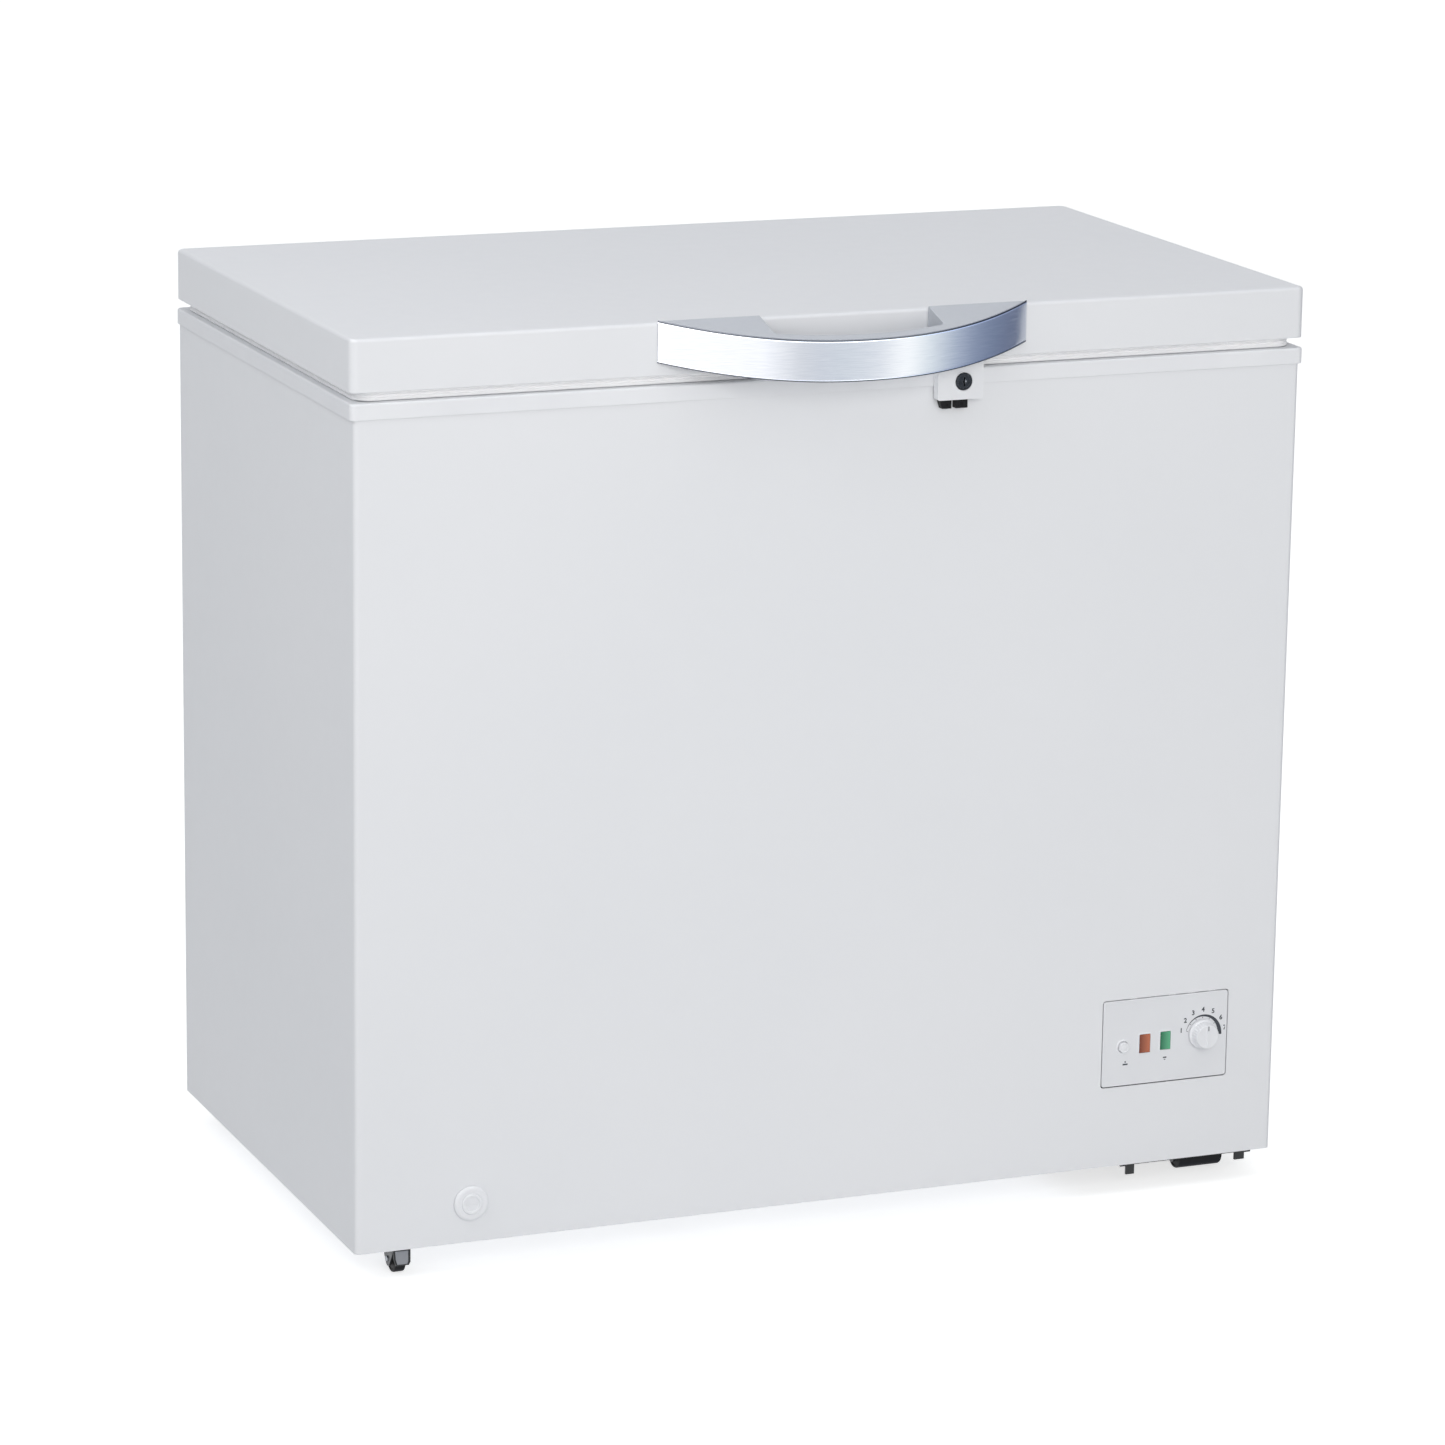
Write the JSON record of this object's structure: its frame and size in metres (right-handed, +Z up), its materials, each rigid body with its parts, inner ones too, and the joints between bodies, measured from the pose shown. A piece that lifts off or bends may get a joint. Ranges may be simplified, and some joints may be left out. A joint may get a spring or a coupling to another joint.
{
  "type": "chest freezer",
  "caption": "White chest freezer with a hinged insulated lid, bow-shaped front handle with key lock, low control panel, drain and rollers.",
  "frame": {"origin": "on the floor, under the centre of the whole freezer's box", "axes": "+X to the user's right along the width, +Y to the back (hinge side), +Z up"},
  "size_m": [0.93, 0.6102, 0.8673],
  "materials": {
    "white_painted_steel": "smooth white enamel, semi-gloss",
    "white_plastic": "white moulded plastic, fine satin",
    "basket_wire": "white coated wire",
    "liner_metal": "stucco-embossed sheet",
    "foam": "rigid insulating foam, open cut",
    "zinc_steel": "zinc-plated sheet, spangled",
    "black_painted_steel": "black enamel",
    "rubber": "matt black rubber",
    "black_plastic": "black moulded plastic",
    "lock_metal": "dark cylinder face",
    "copper": "copper tube, slightly dulled",
    "grey_plastic": "light grey moulded plastic, satin",
    "chrome_trim": "brushed bright trim",
    "orange_lens": "translucent orange window",
    "green_lens": "translucent green window",
    "gasket_rubber": "soft white magnetic seal"
  },
  "bodies": {
    "cabinet": {"outer_shell": "white_painted_steel", "rear_panel": "white_painted_steel", "bottom_panel": "zinc_steel", "top_rim_frame": "white_plastic", "inner_liner": "liner_metal", "evaporator_coil": "zinc_steel", "condenser_coil": "copper", "cabinet_foam": "foam", "compartment_liner": "zinc_steel", "compressor_base_plate": "black_painted_steel", "compressor": "black_painted_steel", "rubber_mount_front_left": "rubber", "rubber_mount_front_right": "rubber", "rubber_mount_rear_left": "rubber", "rubber_mount_rear_right": "rubber", "relay_cover": "black_plastic", "filter_drier": "copper", "capillary_tube": "copper", "side_vent_grille": "white_plastic", "rear_service_cover": "zinc_steel", "mains_cord_gland": "black_plastic", "control_panel": "white_plastic", "orange_lens": "orange_lens", "green_lens": "green_lens", "thermostat_body": "zinc_steel", "drain_tube": "grey_plastic", "lock_keeper": "black_plastic", "hinge_base_left": "zinc_steel", "hinge_pin_left": "zinc_steel", "hinge_spring_left": "zinc_steel", "hinge_base_right": "zinc_steel", "hinge_pin_right": "zinc_steel", "hinge_spring_right": "zinc_steel", "roller_axle_front_left": "zinc_steel", "roller_bracket_front_left": "zinc_steel", "roller_axle_rear_left": "zinc_steel", "roller_bracket_rear_left": "zinc_steel", "roller_axle_front_right": "zinc_steel", "roller_bracket_front_right": "zinc_steel", "roller_axle_rear_right": "zinc_steel", "roller_bracket_rear_right": "zinc_steel"},
    "lid": {"lid_outer_cap": "white_painted_steel", "lid_inner_liner": "white_plastic", "lid_foam": "foam", "lid_gasket": "gasket_rubber", "handle_band": "chrome_trim", "handle_body": "grey_plastic", "lock_housing": "white_plastic", "hinge_arm_left": "zinc_steel", "hinge_arm_right": "zinc_steel"},
    "lock": {"lock_cylinder": "lock_metal"},
    "knob": {"thermostat_knob": "white_plastic"},
    "button": {"fast_freeze_button": "white_plastic"},
    "drain_cap": {"drain_cap": "white_plastic"},
    "drain_plug": {"drain_plug": "rubber"},
    "basket": {"storage_basket": "basket_wire"},
    "wheel_front_left": {"roller_wheel_front_left": "black_plastic"},
    "wheel_rear_left": {"roller_wheel_rear_left": "black_plastic"},
    "wheel_front_right": {"roller_wheel_front_right": "black_plastic"},
    "wheel_rear_right": {"roller_wheel_rear_right": "black_plastic"}
  },
  "joints": [
    {"name": "lid_hinge", "type": "hinge", "parent": "cabinet", "child": "lid", "pos_m": [0, 0.2921, 0.812], "axis": [-1, 0, 0], "range_deg": [0, 80]},
    {"name": "lock_turn", "type": "hinge", "parent": "lid", "child": "lock", "pos_m": [0.1145, -0.255, 0.7978], "axis": [0, 1, 0], "range_deg": [0, 90]},
    {"name": "knob_turn", "type": "hinge", "parent": "cabinet", "child": "knob", "pos_m": [0.384, -0.2463, 0.1523], "axis": [0, 1, 0], "range_deg": [-135, 135]},
    {"name": "button_press", "type": "slide", "parent": "cabinet", "child": "button", "axis": [0, 1, 0], "range_m": [0, 0.002], "stiffness_N_per_m": 400},
    {"name": "drain_cap_pull", "type": "slide", "parent": "cabinet", "child": "drain_cap", "axis": [0, -1, 0], "range_m": [0, 0.03]},
    {"name": "drain_plug_lift", "type": "slide", "parent": "cabinet", "child": "drain_plug", "axis": [0, 0, 1], "range_m": [0, 0.04]},
    {"name": "basket_slide", "type": "slide", "parent": "cabinet", "child": "basket", "axis": [1, 0, 0], "range_m": [-0.56, 0]},
    {"name": "roll_front_left", "type": "hinge", "parent": "cabinet", "child": "wheel_front_left", "pos_m": [-0.4135, -0.218, 0.013], "axis": [1, 0, 0], "continuous": true},
    {"name": "roll_rear_left", "type": "hinge", "parent": "cabinet", "child": "wheel_rear_left", "pos_m": [-0.4135, 0.248, 0.013], "axis": [1, 0, 0], "continuous": true},
    {"name": "roll_front_right", "type": "hinge", "parent": "cabinet", "child": "wheel_front_right", "pos_m": [0.411, -0.189, 0.013], "axis": [1, 0, 0], "continuous": true},
    {"name": "roll_rear_right", "type": "hinge", "parent": "cabinet", "child": "wheel_rear_right", "pos_m": [0.411, 0.22, 0.013], "axis": [1, 0, 0], "continuous": true}
  ]
}
